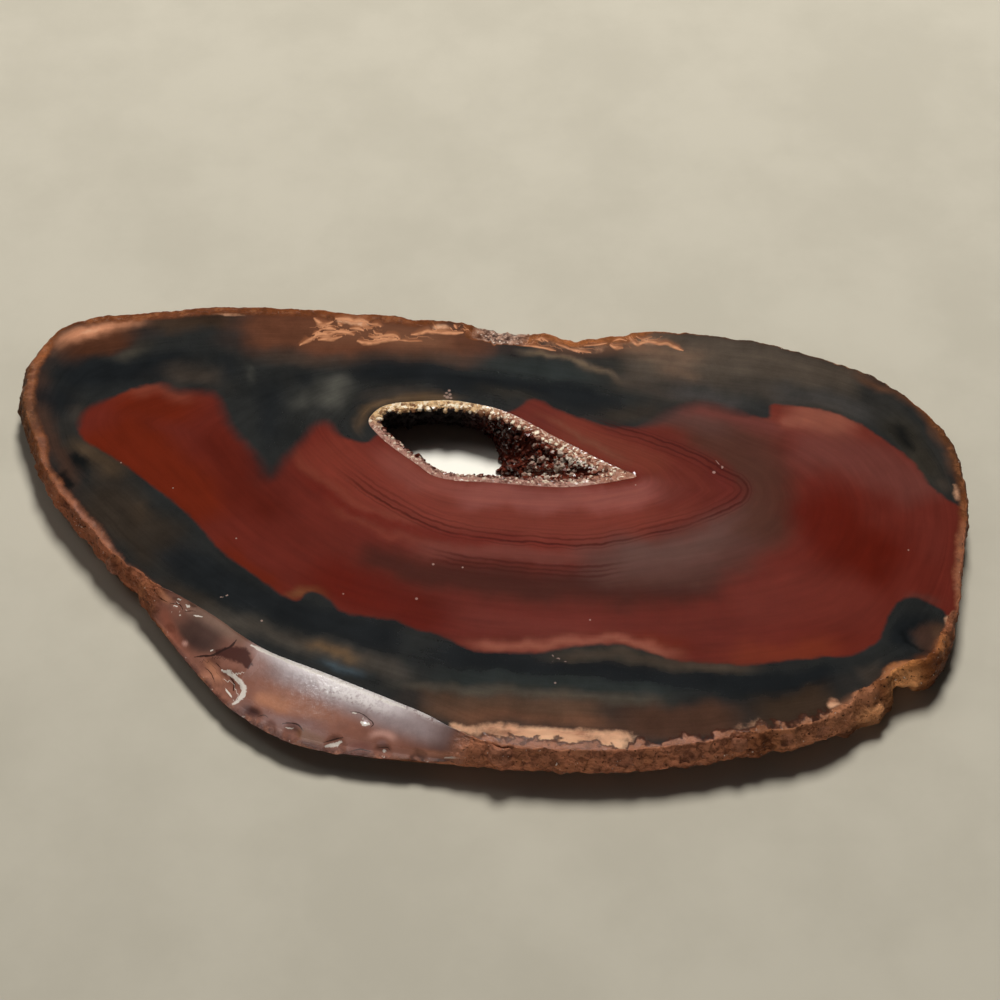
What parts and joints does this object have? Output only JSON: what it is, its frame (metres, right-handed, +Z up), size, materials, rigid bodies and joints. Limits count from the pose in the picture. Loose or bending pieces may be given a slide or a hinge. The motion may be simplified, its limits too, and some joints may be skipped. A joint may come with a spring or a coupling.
{
  "type": "agate slice",
  "caption": "Thin polished slice of banded agate with a rough natural rind and a slanting crystal-lined hollow through it, for display or as a small stand.",
  "frame": {"origin": "under the middle of the slice's bounding box, on the plane it rests on", "axes": "+X along the slice's length, towards the end with the broken corner; +Y across it, towards the side nearer the hollow; +Z up, square to the polished faces"},
  "size_m": [0.1016, 0.0594, 0.0042],
  "materials": {
    "agate_slice": "polished flat faces, rough natural rind round the rim",
    "crystal_crust": "small sparkling crystals with flat faces"
  },
  "bodies": {
    "root": {"agate_slice": "agate_slice", "crystal_crust": "crystal_crust"}
  },
  "joints": []
}
